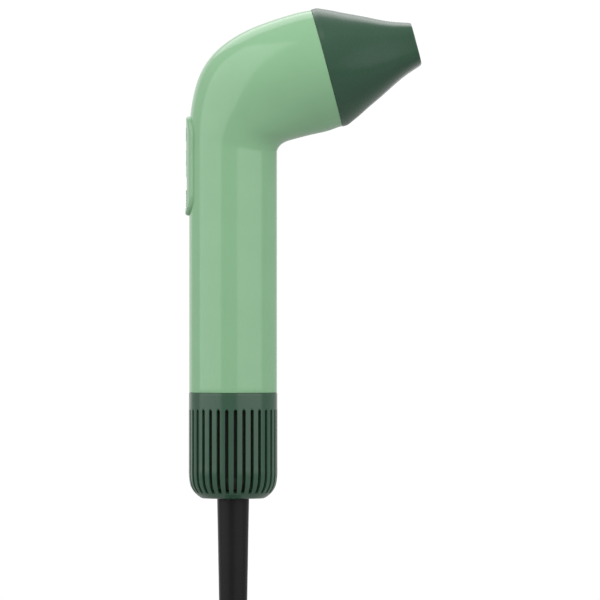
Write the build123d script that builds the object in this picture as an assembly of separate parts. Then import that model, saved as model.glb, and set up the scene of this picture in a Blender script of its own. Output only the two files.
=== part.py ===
from build123d import *
import math
import os

os.makedirs("parts", exist_ok=True)

# ---------------------------------------------------------------------------
# Corded hair dryer. Millimetres. +Z runs up along the handle, +X points the
# way the air leaves, and the origin is on the handle's axis at the grip.
# ---------------------------------------------------------------------------

# body tube
HANDLE_R = 21.15          # outside radius of the handle
WALL = 2.0                # wall of the two half shells
HANDLE_IN_R = HANDLE_R - WALL
HANDLE_Z0 = -42.5         # foot of the handle
STRAIGHT_TOP = 60.0       # the plain cylinder ends here

# bend: oval sections in planes that fan out about a line along Y
PIVOT_X, PIVOT_Z = 55.5, 73.2
# angle of the plane, distance from the pivot to the inner wall and to the
# outer wall, half width along Y, inner wall's thickness along the section
BEND = [
    (0, 34.25, 76.65, 21.15, 2.0),
    (7, 31.60, 77.25, 21.75, 2.5),
    (14, 25.95, 78.35, 23.00, 3.5),
    (22, 20.40, 79.75, 24.60, 3.3),
    (31, 16.80, 80.55, 26.10, 2.8),
    (42, 14.50, 78.55, 27.50, 2.35),
    (54, 13.20, 74.70, 28.50, 2.15),
    (64, 12.70, 71.90, 28.90, 2.05),
    (75, 12.50, 70.30, 28.90, 2.0),
]

# outlet: centre of the joint between body and nozzle, and its axis
JOINT_X, JOINT_Z = 44.8, 113.2
TILT = 15.0
HEAD_R = 28.9
MOUTH_R = 22.0

# nozzle: distance along the outlet axis, half height, half width, squareness
NOZZLE = [
    (2.9, 29.10, 29.10, 2.0),
    (8.0, 26.80, 28.85, 2.05),
    (13.5, 24.05, 28.60, 2.15),
    (20.0, 20.95, 28.30, 2.35),
    (27.0, 17.45, 28.00, 2.6),
    (33.0, 14.40, 27.70, 2.9),
    (38.0, 12.30, 27.45, 3.2),
    (44.3, 10.30, 27.10, 3.6),
]
NOZZLE_WALL = 1.8
NOZZLE_TIP = 44.3

# intake cage
CAGE_R = 21.25
CAGE_WALL = 1.65
CAGE_TOP = -42.8
CAGE_BOTTOM = -93.3
SLOTS = 32
SLOT_W = 1.7
SLOT_TOP, SLOT_BOTTOM = -50.4, -90.9
CAGE_HOLE_R = 8.3

# control pad on the back of the handle
PAD_R = 22.65
PAD_HALF_W = 10.3
PAD_Z0, PAD_Z1 = 42.4, 90.0
BOSS_HALF_W = 8.0
BOSS_INSET = 2.3
SLIDER_Z = 50.5
SLIDER_TRAVEL = 6.0
BUTTON_R = 3.9
BUTTON_Z = (70.0, 81.2)
BUTTON_TRAVEL = 0.8

# cord guard and cord
GUARD_END = -152.0
CORD_D = 7.0
CORD_R = CORD_D / 2
TURN_PITCH = 7.2
TURNS = 5
LOOP_R = 21.5             # bend radius of the hank's folds
HANK_Y = 10.0             # the hank's middle, behind the handle's axis
HANK_Z = -251.0
HANK_HALF = 38.0          # half the distance between the folds' centres
WAIST_X = 3.75
HANK_HALF_T = 24.0        # half the hank's thickness along Y
PLUG_X, PLUG_Y, PLUG_TOP = 2.0, 28.5, -322.0

C2 = (Align.CENTER, Align.CENTER, Align.MIN)


# ----------------------------- helpers -------------------------------------
def cyl(r, z0, z1, x=0.0, y=0.0):
    return Pos(x, y, z0) * Cylinder(r, z1 - z0, align=C2)


def ring(ro, ri, z0, z1):
    return cyl(ro, z0, z1) - cyl(ri, z0 - 1, z1 + 1)


def box(x0, x1, y0, y1, z0, z1):
    return Pos((x0 + x1) / 2, (y0 + y1) / 2, (z0 + z1) / 2) * Box(x1 - x0, y1 - y0, z1 - z0)


def solid_of(shape):
    """One plain solid, or a group of solids, from whatever a boolean gave."""
    parts = shape.solids()
    return parts[0] if len(parts) == 1 else Compound(children=list(parts))


def turned(profile):
    """Solid of revolution about Z from (radius, height) points."""
    wire = Polyline(*[(r, 0, z) for r, z in profile], close=True)
    return revolve(make_face(wire), Axis.Z, 360)


def xcyl(r, x0, x1, y, z):
    """Cylinder along X."""
    return Pos(x0, y, z) * Rot(0, 90, 0) * Cylinder(r, x1 - x0, align=C2)


def xprism(sketch, x0, x1):
    """Sketch drawn in (y, z), extruded along X from x0 to x1."""
    pl = Plane(origin=(x0, 0, 0), x_dir=(0, 1, 0), z_dir=(1, 0, 0))
    return extrude(pl * sketch, amount=x1 - x0)


# outlet frame: local z along the outlet axis, local x = world Y, local y up
A = (math.cos(math.radians(TILT)), 0.0, math.sin(math.radians(TILT)))
OUTLET = Plane(origin=(JOINT_X, 0, JOINT_Z), x_dir=(0, 1, 0), z_dir=A)


def at_outlet(shape):
    return OUTLET.location * shape


def fan_section(theta, d_in, d_out, half_w):
    t = math.radians(theta)
    ray = (-math.cos(t), 0.0, math.sin(t))
    nrm = (math.sin(t), 0.0, math.cos(t))
    mid = (d_in + d_out) / 2
    pl = Plane(
        origin=(PIVOT_X + ray[0] * mid, 0, PIVOT_Z + ray[2] * mid), x_dir=ray, z_dir=nrm
    )
    return pl * Ellipse((d_out - d_in) / 2, half_w)


def flat_section(r, z):
    pl = Plane(origin=(0, 0, z), x_dir=(-1, 0, 0), z_dir=(0, 0, 1))
    return pl * Ellipse(r, r)


parts = {}

# ----------------------------- body shells ---------------------------------


def bend_solid(sections):
    """Two lofts that share the section where the head turns straight."""
    return loft(sections[:-2]) + loft(sections[-3:])


outer_bend = bend_solid(
    [flat_section(HANDLE_R, STRAIGHT_TOP), flat_section(HANDLE_R, 67.0)]
    + [fan_section(t, a, b, w) for t, a, b, w, _ in BEND]
)
inner_sections = [flat_section(HANDLE_IN_R, STRAIGHT_TOP), flat_section(HANDLE_IN_R, 67.0)]
for t, a, b, w, k in BEND:
    inner_sections.append(fan_section(t, a + k, b - 2.05, w - 2.0))
inner_bend = bend_solid(inner_sections)
outer_body = cyl(HANDLE_R, HANDLE_Z0, STRAIGHT_TOP) + outer_bend
inner_body = (
    cyl(HANDLE_IN_R, HANDLE_Z0 - 2, STRAIGHT_TOP)
    + inner_bend
    + at_outlet(cyl(HEAD_R - 2.0, -0.001, 2.0))
)
shell = outer_body - inner_body

# screw bosses: four at the foot, four inside the mouth
BASE_BOSS_R, BASE_BOSS_AT = 2.2, 17.2
MOUTH_BOSS_R, MOUTH_BOSS_AT = 2.4, 24.8
for k in range(4):
    ang = math.radians(45 + 90 * k)
    bx, by = BASE_BOSS_AT * math.cos(ang), BASE_BOSS_AT * math.sin(ang)
    boss = cyl(BASE_BOSS_R, HANDLE_Z0, -32.0, bx, by) & cyl(HANDLE_R - 0.5, -60, 0)
    shell = shell + boss
    shell = shell - cyl(0.9, HANDLE_Z0 - 1, -34.0, bx, by)
    mx, my = MOUTH_BOSS_AT * math.cos(ang), MOUTH_BOSS_AT * math.sin(ang)
    mouth_boss = cyl(MOUTH_BOSS_R, -15.0, -7.2, mx, my) & cyl(HEAD_R - 0.6, -20, 0)
    shell = shell + at_outlet(mouth_boss)
    shell = shell - at_outlet(cyl(0.9, -13.0, -6.0, mx, my))

# window behind the control pad
PAD_ZC = (PAD_Z0 + PAD_Z1) / 2
PAD_H = PAD_Z1 - PAD_Z0
window = Pos(0, PAD_ZC) * SlotOverall(PAD_H - 2 * BOSS_INSET + 0.3, 2 * BOSS_HALF_W + 0.3, rotation=90)
shell = shell - xprism(window, -30, -12)

shell_solid = shell.solids().sort_by(SortBy.VOLUME)[-1]
parts["housing_left"] = solid_of(shell_solid & box(-60, 90, 0, 60, -80, 180))
parts["housing_right"] = solid_of(shell_solid & box(-60, 90, -60, 0, -80, 180))

# ----------------------------- control pad ---------------------------------
pad_outline = Pos(0, PAD_ZC) * SlotOverall(PAD_H, 2 * PAD_HALF_W, rotation=90)
boss_outline = Pos(0, PAD_ZC) * SlotOverall(PAD_H - 2 * BOSS_INSET, 2 * BOSS_HALF_W, rotation=90)
pad = xprism(pad_outline, -30, -14) & ring(PAD_R, HANDLE_R + 0.02, 30, 100)
pad = pad - outer_bend
boss = xprism(boss_outline, -30, -14) & ring(HANDLE_R + 0.4, 18.9, 30, 100)
pad = pad + boss
# recess and slot for the slider, holes for buttons and lights
recess_z0, recess_z1 = SLIDER_Z - 4.3, SLIDER_Z + 4.3 + SLIDER_TRAVEL
recess = Pos(0, (recess_z0 + recess_z1) / 2) * RectangleRounded(9.7, recess_z1 - recess_z0, 1.6)
pad = pad - (xprism(recess, -30, -14) - cyl(22.25, 30, 100))
pad = pad - box(-30, -14, -1.6, 1.6, SLIDER_Z - 2.3, SLIDER_Z + 2.3 + SLIDER_TRAVEL)
for bz in BUTTON_Z:
    pad = pad - xcyl(BUTTON_R + 0.2, -30, -14, 0, bz)
LIGHT_Z = 63.4
for ly in (-3.0, 0.0, 3.0):
    pad = pad - xcyl(0.8, -30, -14, ly, LIGHT_Z)
parts["control_pad"] = solid_of(pad)

lights = []
for ly in (-3.0, 0.0, 3.0):
    lights.append(solid_of(xcyl(0.75, -30, -15.0, ly, LIGHT_Z) & cyl(PAD_R - 0.02, 50, 80)))
parts["indicator_lights"] = Compound(children=lights)

slider_cap = Pos(0, SLIDER_Z) * RectangleRounded(9.0, 8.0, 1.3)
slider = xprism(slider_cap, -30, -14) & ring(22.9, 22.35, 30, 100)
slider = slider + (
    box(-30, -16.3, -1.3, 1.3, SLIDER_Z - 2.0, SLIDER_Z + 2.0) & cyl(22.6, 30, 100)
)
parts["power_slider"] = solid_of(slider)

for name, bz in zip(("speed_button", "heat_button"), BUTTON_Z):
    cap = xcyl(BUTTON_R, -30, -17.4, 0, bz) & cyl(22.7, 30, 100)
    cap = cap + xcyl(4.9, -18.1, -17.4, 0, bz)
    parts[name] = solid_of(cap)

parts["control_board"] = solid_of(box(-13.5, -12.3, -7, 7, 44, 88.5))
parts["slide_switch"] = solid_of(box(-16.0, -13.55, -3, 3, 44.5, 61.0))
parts["tact_switches"] = Compound(
    children=[
        solid_of(
            box(-15.6, -13.55, -2.3, 2.3, bz - 2.3, bz + 2.3) + xcyl(1.2, -16.45, -15.5, 0, bz)
        )
        for bz in BUTTON_Z
    ]
)

# ----------------------------- outlet --------------------------------------
outlet_ring = ring(HEAD_R - 2.1, MOUTH_R, -7.0, 0.0) + ring(24.0, MOUTH_R, -1.0, 4.6)
outlet_ring = outlet_ring + ring(MOUTH_R + 0.5, 20.6, -7.0, -3.1)
screws = []
magnets = []
for k in range(4):
    ang = math.radians(45 + 90 * k)
    mx, my = MOUTH_BOSS_AT * math.cos(ang), MOUTH_BOSS_AT * math.sin(ang)
    outlet_ring = outlet_ring - cyl(1.15, -8, 1, mx, my) - cyl(1.75, -1.9, 1, mx, my)
    screws.append(
        solid_of(at_outlet(cyl(0.85, -12.0, -1.5, mx, my) + cyl(1.65, -1.85, -0.25, mx, my)))
    )
for k in range(8):
    ang = math.radians(22.5 + 45 * k)
    gx, gy = 25.3 * math.cos(ang), 25.3 * math.sin(ang)
    outlet_ring = outlet_ring - cyl(1.2, -2.3, 1, gx, gy)
    magnets.append(solid_of(at_outlet(cyl(1.15, -2.25, -0.05, gx, gy))))
parts["outlet_ring"] = solid_of(at_outlet(outlet_ring))
parts["outlet_screws"] = Compound(children=screws)
parts["outlet_magnets"] = Compound(children=magnets)

grille = ring(21.9, 20.2, -3.0, -1.0)
for r in (5.0, 10.0, 15.0):
    grille = grille + ring(r + 0.6, r - 0.6, -2.8, -1.2)
for k in range(8):
    spoke = Rot(0, 0, 45 * k) * box(3.9, 21.0, -0.5, 0.5, -2.8, -1.2)
    grille = grille + spoke
parts["outlet_grille"] = solid_of(at_outlet(grille))

# nozzle collar: steel ring held by the magnets, with a lip that keeps the shell
collar = ring(25.15, 24.1, 0.12, 4.6) + ring(26.4, 24.1, 0.12, 0.95) + ring(25.95, 24.1, 3.65, 4.6)
parts["nozzle_collar"] = solid_of(at_outlet(collar))


def oval(u, half_h, half_w, n, count=40):
    pts = []
    for i in range(count):
        a = 2 * math.pi * i / count
        c, s = math.cos(a), math.sin(a)
        pts.append(
            (
                half_w * math.copysign(abs(c) ** (2 / n), c),
                half_h * math.copysign(abs(s) ** (2 / n), s),
                u,
            )
        )
    return make_face(Spline(*pts, periodic=True))


nozzle_outer = loft([oval(0.3, 29.1, 29.1, 2.0)] + [oval(*s) for s in NOZZLE])
nozzle_inner = loft(
    [oval(3.3, 26.9, 26.9, 2.0)]
    + [oval(u, h - NOZZLE_WALL - 0.2, w - NOZZLE_WALL, n) for u, h, w, n in NOZZLE[1:-1]]
    + [oval(NOZZLE_TIP + 0.5, NOZZLE[-1][1] - 1.7, NOZZLE[-1][2] - 1.7, NOZZLE[-1][3])]
)
nozzle = nozzle_outer - nozzle_inner - cyl(25.25, -1, 3.4) - cyl(26.6, -1, 1.15)
parts["nozzle_shell"] = solid_of(at_outlet(nozzle.solids().sort_by(SortBy.VOLUME)[-1]))

# ----------------------------- heater --------------------------------------
HEATER_U0, HEATER_U1 = -35.0, -11.0
RING_U = [-32.0 + 3.4 * i for i in range(6)]
plates = box(-0.5, 0.5, -21.0, 21.0, HEATER_U0, HEATER_U1) + box(
    -21.0, 21.0, -0.5, 0.5, HEATER_U0, HEATER_U1
)
notches = []
for u in RING_U:
    for sx, sy in ((16, 0), (-16, 0), (0, 16), (0, -16)):
        notches.append(box(sx - 0.75, sx + 0.75, sy - 0.75, sy + 0.75, u - 0.75, u + 0.75))
plates = plates - Compound(children=[solid_of(n) for n in notches])
parts["heater_frame"] = solid_of(at_outlet(plates))

element = None
for u in RING_U:
    turn = ring(16.45, 15.55, u - 0.45, u + 0.45)
    element = turn if element is None else element + turn
for ang in (45, 225):
    x, y = 16 * math.cos(math.radians(ang)), 16 * math.sin(math.radians(ang))
    element = element + cyl(0.7, RING_U[0] - 1.5, RING_U[-1] + 0.5, x, y)
parts["heater_element"] = solid_of(at_outlet(element))

parts["heater_sleeve"] = solid_of(at_outlet(ring(22.0, 21.2, -36.0, -9.0)))
parts["thermostat"] = solid_of(
    at_outlet(box(0.55, 2.0, -12.5, -5.5, -24.0, -15.0) + Pos(2.0, -9.0, -19.5) * Rot(0, 90, 0) * Cylinder(3.0, 2.2, align=C2))
)
parts["thermal_fuse"] = solid_of(at_outlet(cyl(1.5, -26.0, -16.0, -2.1, -8.0)))
parts["ion_module"] = solid_of(
    at_outlet(box(-4, 4, 11.0, 17.5, -46.0, -38.0) + cyl(0.4, -38.0, -36.6, 0, 14))
)

# ----------------------------- motor ---------------------------------------
duct = ring(17.5, 16.3, -24.0, 22.0) + ring(10.5, 9.6, -4.0, 18.0)
duct = duct + ring(10.5, 4.03, -6.4, -3.4) + (ring(10.5, 4.03, 13.0, 16.0))
for k in range(7):
    duct = duct + Rot(0, 0, 360 / 7 * k) * box(10.1, 16.8, -0.6, 0.6, -3.0, 13.0)
parts["motor_duct"] = solid_of(duct)
parts["motor_tail_cone"] = solid_of(
    turned([(9.5, 16.05), (9.5, 18.05), (10.5, 18.05), (10.5, 20.0), (6.5, 27.0), (2.5, 29.5), (0, 29.8), (0, 28.4), (2.0, 28.2), (5.6, 26.0), (9.4, 19.5), (9.4, 17.3), (8.6, 16.05)])
)
stator = ring(9.5, 7.4, 0.0, 10.0)
for k in range(4):
    stator = stator + Rot(0, 0, 90 * k) * (box(5.2, 7.8, -1.3, 1.3, 0.0, 10.0) - cyl(5.3, -1, 11))
parts["stator_core"] = solid_of(stator)
wind = []
for k in range(4):
    w = Rot(0, 0, 90 * k) * (box(5.6, 6.8, -2.4, 2.4, -1.8, 11.8) - box(5.0, 7.2, -1.35, 1.35, -0.05, 10.05))
    wind.append(solid_of(w))
parts["stator_windings"] = Compound(children=wind)
parts["motor_bearings"] = Compound(
    children=[solid_of(ring(4.0, 1.53, -6.2, -3.6)), solid_of(ring(4.0, 1.53, 13.2, 15.8))]
)
parts["motor_board"] = solid_of(ring(8.5, 2.6, 16.2, 17.2))


def damper(z0, z1):
    d = ring(19.1, 17.55, z0, z1)
    for side in (1, -1):
        d = d - Rot(0, 0, 30 * side) * box(16, 21, -1.3, 1.3, z0 - 1, z1 + 1)
    return Compound(children=list(d.solids())) if len(d.solids()) > 1 else solid_of(d)


parts["damper_lower"] = damper(-22.0, -17.0)
parts["damper_upper"] = damper(14.0, 19.0)

parts["motor_shaft"] = solid_of(cyl(1.5, -19.0, 18.5))
parts["rotor_magnet"] = solid_of(ring(4.6, 1.5, -0.5, 10.5))
fan = ring(8.6, 1.5, -19.0, -8.0)
fan = fan + (turned([(0, -22.5), (3.0, -22.2), (6.0, -21.0), (8.6, -19.0), (0, -19.0)]))
for k in range(11):
    blade = Rot(0, 0, 360 / 11 * k) * Pos(12.0, 0, -13.5) * Rot(38, 0, 0) * Box(7.8, 0.9, 9.0)
    fan = fan + blade
fan = fan & cyl(15.9, -30, 0)
parts["impeller"] = solid_of(fan)

# ----------------------------- boards and leads ----------------------------
parts["main_board"] = solid_of(box(8.0, 9.2, -13, 13, 32, 70))
parts["main_capacitor"] = solid_of(cyl(4.0, 35.0, 51.0, 3.9, -7.0))
sink = box(6.6, 7.95, 2.0, 11.0, 36.0, 54.0)
for fy in (2.0, 4.0, 6.0, 8.0, 10.0):
    sink = sink + box(1.0, 6.8, fy, fy + 1.0, 36.0, 54.0)
parts["heat_sink"] = solid_of(sink)


def lead(points, radii, r):
    path = FilletPolyline(*points, radius=radii)
    start = path @ 0
    direction = path % 0
    prof = Plane(origin=start, z_dir=direction) * Circle(r)
    tube = sweep(prof, path=path)
    length = path.length
    print(
        "tube", [round(x, 1) for x in radii] if isinstance(radii, (list, tuple)) else radii,
        "length", round(length, 1),
        "volume/section*length", round(tube.volume / (math.pi * r * r * length), 4),
    )
    return tube


def route_radii(points, share=0.45):
    """Each corner's radius from its two runs."""
    out = []
    for i in range(1, len(points) - 1):
        a = Vector(*points[i]) - Vector(*points[i - 1])
        b = Vector(*points[i + 1]) - Vector(*points[i])
        turn = math.radians(a.get_angle(b))
        out.append(share * min(a.length, b.length) / math.tan(turn / 2))
    return out


leads = []
for side in (1, -1):
    pts = [
        (1.6, 0.9 * side, -71.8),
        (1.6, 0.9 * side, -60.0),
        (8.0, 4.6 * side, -40.5),
        (15.9, 9.18 * side, -26.0),
        (15.9, 9.18 * side, 24.0),
        (8.6, 5.0 * side, 31.2),
    ]
    leads.append(solid_of(lead(pts, [5, 14, 14, 4], 0.65)))
parts["mains_leads"] = Compound(children=leads)
heater_leads = []
for side in (1, -1):
    pts = [(8.6, 6.0 * side, 70.2), (8.4, 6.0 * side, 88.0), (10.6, 6.0 * side, 103.6)]
    heater_leads.append(solid_of(lead(pts, [25], 0.7)))
parts["heater_leads"] = Compound(children=heater_leads)

# ----------------------------- base chassis --------------------------------
chassis = ring(19.4, 13.0, -44.6, -42.6) + ring(14.6, 13.0, -43.0, -37.0)
chassis = chassis + ring(17.2, 15.4, -86.8, -44.5) + (cyl(16.2, -88.8, -86.0) - cyl(7.8, -90, -85))
for k in range(8):
    w = Rot(0, 0, 45 * k + 22.5) * box(12, 20, -4.3, 4.3, -82.0, -49.0)
    chassis = chassis - w
for sx in (12.6, -12.6):
    chassis = chassis + cyl(2.3, -86.5, -79.1, sx, 0) - cyl(0.9, -84, -79, sx, 0)
base_screws, base_magnets = [], []
for k in range(4):
    ang = math.radians(45 + 90 * k)
    bx, by = BASE_BOSS_AT * math.cos(ang), BASE_BOSS_AT * math.sin(ang)
    chassis = chassis - cyl(1.1, -50, -40, bx, by) - cyl(1.9, -44.7, -43.6, bx, by)
    base_screws.append(
        solid_of(cyl(0.85, -43.9, -35.0, bx, by) + cyl(1.75, -44.5, -43.65, bx, by))
    )
    ang = math.radians(90 * k)
    gx, gy = 18.1 * math.cos(ang), 18.1 * math.sin(ang)
    chassis = chassis - cyl(1.05, -44.7, -43.1, gx, gy)
    base_magnets.append(solid_of(cyl(1.0, -44.55, -43.15, gx, gy)))
parts["base_chassis"] = solid_of(chassis.solids().sort_by(SortBy.VOLUME)[-1])
parts["base_screws"] = Compound(children=base_screws)
parts["base_magnets"] = Compound(children=base_magnets)

parts["cord_clamp"] = solid_of(
    (box(-15.0, 15.0, -5.6, 5.6, -79.0, -76.0) & cyl(15.2, -90, -60))
    - cyl(3.52, -90, -60)
    - cyl(1.0, -90, -60, 12.6, 0)
    - cyl(1.0, -90, -60, -12.6, 0)
)
parts["clamp_screws"] = Compound(
    children=[
        solid_of(cyl(0.85, -83.5, -75.9, sx, 0) + cyl(1.9, -75.95, -74.6, sx, 0))
        for sx in (12.6, -12.6)
    ]
)
parts["cord_guard"] = solid_of(
    turned(
        [
            (0, -83.5), (9.8, -83.5), (9.8, -85.9), (7.7, -85.9), (7.7, -93.3), (7.52, -101.5),
            (7.36, -109.5), (7.22, -117.5), (7.10, -125.0), (6.95, -132.5), (6.82, -140.5),
            (6.65, -148.6), (6.0, -151.2), (5.0, GUARD_END), (0, GUARD_END),
        ]
    )
)
parts["cord_sheath_end"] = solid_of(cyl(CORD_R - 0.02, -83.45, -72.0))

# ----------------------------- intake cage ---------------------------------
p_out = [(CAGE_R, -81.5), (CAGE_R - 0.2, -84.2), (20.25, -87.6), (19.2, -89.5), (17.55, -91.4), (15.2, CAGE_BOTTOM)]
p_in = [(CAGE_R - CAGE_WALL, -81.5), (19.4, -83.6), (18.5, -86.9), (17.6, -88.5), (16.2, -90.0), (13.6, -91.6)]
edge_out = Spline(*[(r, 0, z) for r, z in p_out], tangents=[(0, 0, -1), (-1, 0, -0.35)])
edge_in = Spline(*[(r, 0, z) for r, z in p_in], tangents=[(0, 0, -1), (-1, 0, -0.35)])
outline = [
    Line((CAGE_HOLE_R, 0, -91.6), (CAGE_HOLE_R, 0, CAGE_BOTTOM)),
    Line((CAGE_HOLE_R, 0, CAGE_BOTTOM), (15.2, 0, CAGE_BOTTOM)),
    edge_out,
    Line((CAGE_R, 0, -81.5), (CAGE_R, 0, CAGE_TOP)),
    Line((CAGE_R, 0, CAGE_TOP), (CAGE_R - CAGE_WALL, 0, CAGE_TOP)),
    Line((CAGE_R - CAGE_WALL, 0, CAGE_TOP), (CAGE_R - CAGE_WALL, 0, -81.5)),
    edge_in,
    Line((13.6, 0, -91.6), (CAGE_HOLE_R, 0, -91.6)),
]
cage = revolve(make_face(outline), Axis.Z, 360)
cutters = []
for k in range(SLOTS):
    ang = 360 / SLOTS * k + 3.4
    slot = box(14.0, 24.0, -SLOT_W / 2, SLOT_W / 2, SLOT_BOTTOM, SLOT_TOP - SLOT_W / 2)
    slot = slot + xcyl(SLOT_W / 2, 14.0, 24.0, 0, SLOT_TOP - SLOT_W / 2)
    cutters.append(solid_of(Rot(0, 0, ang) * slot))
cage = cage - Compound(children=cutters)
parts["intake_cage"] = solid_of(cage)
parts["cage_ring"] = solid_of(ring(19.5, 17.65, -45.7, -44.9))
frame_f = ring(18.9, 17.7, -48.0, -45.8) + ring(18.3, 17.5, -85.5, -83.0)
for k in range(4):
    frame_f = frame_f + Rot(0, 0, 90 * k) * box(17.72, 18.28, -1.0, 1.0, -84.0, -47.0)
parts["filter_frame"] = solid_of(frame_f)
parts["filter_mesh"] = solid_of(ring(18.85, 18.4, -82.9, -48.1))

# ----------------------------- cord, hank and plug -------------------------
hank_top = HANK_Z + HANK_HALF + LOOP_R + CORD_R
hank_bottom = HANK_Z - HANK_HALF - LOOP_R - CORD_R
loop_out = LOOP_R + CORD_R
hank_2d = (
    Pos(0, HANK_Z + HANK_HALF) * Circle(loop_out)
    + Pos(0, HANK_Z - HANK_HALF) * Circle(loop_out)
    + Pos(0, HANK_Z) * Rectangle(2 * (WAIST_X + CORD_R) + 0.4, 2 * HANK_HALF)
)
tapers = []
for s in (1, -1):
    tapers.append(
        Pos(0, HANK_Z)
        * make_face(
            Polyline(
                (-(WAIST_X + CORD_R + 0.2), s * 7.0),
                (WAIST_X + CORD_R + 0.2, s * 7.0),
                (loop_out - 1.8, s * (HANK_HALF - 9.5)),
                (-(loop_out - 1.8), s * (HANK_HALF - 9.5)),
                close=True,
            )
        )
    )
for t in tapers:
    hank_2d = hank_2d + t
hank_plane = Plane(origin=(0, HANK_Y + HANK_HALF_T, 0), x_dir=(1, 0, 0), z_dir=(0, -1, 0))
hank = extrude(hank_plane * hank_2d, amount=2 * HANK_HALF_T)
parts["cord_hank"] = solid_of(hank)
tie_out = Pos(0, HANK_Y) * RectangleRounded(2 * (WAIST_X + CORD_R) + 4.0, 2 * HANK_HALF_T + 3.4, 3.5)
tie_in = Pos(0, HANK_Y) * Rectangle(2 * (WAIST_X + CORD_R) + 0.6, 2 * HANK_HALF_T + 0.2)
parts["cord_tie"] = solid_of(Pos(0, 0, HANK_Z - 6.5) * extrude(tie_out - tie_in, amount=13.0))

LEAD_IN = [
    (0.0, 0.0, GUARD_END),
    (0.0, 0.0, GUARD_END - 10.0),
    (0.8, -4.6, GUARD_END - 22.0),
    (1.8, -9.6, GUARD_END - 34.0),
]
LEAD_IN[-1] = (1.8, -9.6, hank_top + 0.0)
parts["cord_lead_in"] = solid_of(lead(LEAD_IN, route_radii(LEAD_IN), CORD_R))
TAIL = [
    (PLUG_X - 0.2, PLUG_Y + 0.9, hank_bottom + 0.0),
    (PLUG_X, PLUG_Y, PLUG_TOP + 0.0),
]
tail_tube = Plane(
    origin=TAIL[0],
    z_dir=(TAIL[1][0] - TAIL[0][0], TAIL[1][1] - TAIL[0][1], TAIL[1][2] - TAIL[0][2]),
)
tail_len = math.dist(TAIL[0], TAIL[1])
parts["cord_tail"] = solid_of(extrude(tail_tube * Circle(CORD_R), amount=tail_len))

PLUG_FACE = PLUG_TOP - 32.0
plug = turned(
    [
        (0, 0.0), (4.6, 0.0), (5.0, -1.5), (5.6, -9.0), (8.5, -13.0), (13.5, -18.0), (16.8, -23.0),
        (17.6, -27.0), (17.6, -31.0), (17.0, -32.0), (0, -32.0),
    ]
)
plug = plug & box(-17.7, 17.7, -13.2, 13.2, -40, 5)
parts["plug_body"] = solid_of(Pos(PLUG_X, PLUG_Y, PLUG_TOP) * plug)
PIN_R, PIN_LEN, PIN_GAP = 2.4, 19.0, 19.0
pins = []
for s in (1, -1):
    x = PLUG_X + s * PIN_GAP / 2
    pins.append(
        solid_of(
            Pos(x, PLUG_Y, 0)
            * turned(
                [
                    (0, PLUG_FACE), (PIN_R, PLUG_FACE), (PIN_R, PLUG_FACE - PIN_LEN + 1.5),
                    (PIN_R - 1.3, PLUG_FACE - PIN_LEN), (0, PLUG_FACE - PIN_LEN),
                ]
            )
        )
    )
parts["plug_pins"] = Compound(children=pins)

for name, shape in parts.items():
    export_step(shape, f"parts/{name}.step")
print(len(parts), "nodes")
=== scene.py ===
import math

import bmesh
import bpy
import numpy as np
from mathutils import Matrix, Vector


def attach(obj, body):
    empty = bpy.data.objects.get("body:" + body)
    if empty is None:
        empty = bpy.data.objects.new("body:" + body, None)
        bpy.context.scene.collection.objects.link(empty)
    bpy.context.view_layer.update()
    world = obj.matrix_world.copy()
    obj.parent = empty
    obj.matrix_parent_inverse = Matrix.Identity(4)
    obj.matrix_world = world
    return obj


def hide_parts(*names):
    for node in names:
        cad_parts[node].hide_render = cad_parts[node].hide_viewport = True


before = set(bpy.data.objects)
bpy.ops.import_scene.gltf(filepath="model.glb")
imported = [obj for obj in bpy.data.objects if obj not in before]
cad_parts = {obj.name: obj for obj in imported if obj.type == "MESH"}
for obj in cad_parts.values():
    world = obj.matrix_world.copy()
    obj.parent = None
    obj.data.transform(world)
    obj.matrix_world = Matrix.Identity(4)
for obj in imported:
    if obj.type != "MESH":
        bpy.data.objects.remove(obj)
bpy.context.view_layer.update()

MM = 0.001
scene = bpy.context.scene

# ---------------------------------------------------------------- dimensions
HANDLE_R = 21.15
HANDLE_Z0 = -42.5
PIVOT = (55.5, 73.2)
JOINT = (44.8, 113.2)
TILT = math.radians(15)
A = Vector((math.cos(TILT), 0, math.sin(TILT)))
UP = Vector((-math.sin(TILT), 0, math.cos(TILT)))
SIDE = Vector((0, 1, 0))
HEAD_R = 28.9
GUARD_END = -152.0
CORD_R = 3.5
HANK_Y, HANK_Z, HANK_HALF, LOOP_R = 10.0, -251.0, 38.0, 21.5
WAIST_X = 3.75
PLUG_X, PLUG_Y, PLUG_TOP = 2.0, 28.5, -322.0


# ---------------------------------------------------------------- camera
cam_data = bpy.data.cameras.new("camera")
cam = bpy.data.objects.new("camera", cam_data)
scene.collection.objects.link(cam)
cam_data.lens = 500.0
cam_data.sensor_width = 36.0
cam_data.clip_end = 100.0
FRAME_W = 0.288
DIST = FRAME_W * cam_data.lens / cam_data.sensor_width
cam.location = (0.0321, -DIST, 0.0019)
cam.rotation_euler = (math.radians(90), 0, 0)
scene.camera = cam


# ---------------------------------------------------------------- helpers
def mesh_obj(name, verts, faces, smooth=True):
    me = bpy.data.meshes.new(name)
    me.from_pydata([tuple(v) for v in verts], [], faces)
    me.validate()
    if smooth:
        me.polygons.foreach_set("use_smooth", [True] * len(me.polygons))
    me.update()
    ob = bpy.data.objects.new(name, me)
    scene.collection.objects.link(ob)
    return ob


def grid_faces(rows, cols, wrap_cols=False, wrap_rows=False):
    out = []
    for i in range(rows if wrap_rows else rows - 1):
        i2 = (i + 1) % rows
        for j in range(cols if wrap_cols else cols - 1):
            j2 = (j + 1) % cols
            out.append((i * cols + j, i * cols + j2, i2 * cols + j2, i2 * cols + j))
    return out


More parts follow.
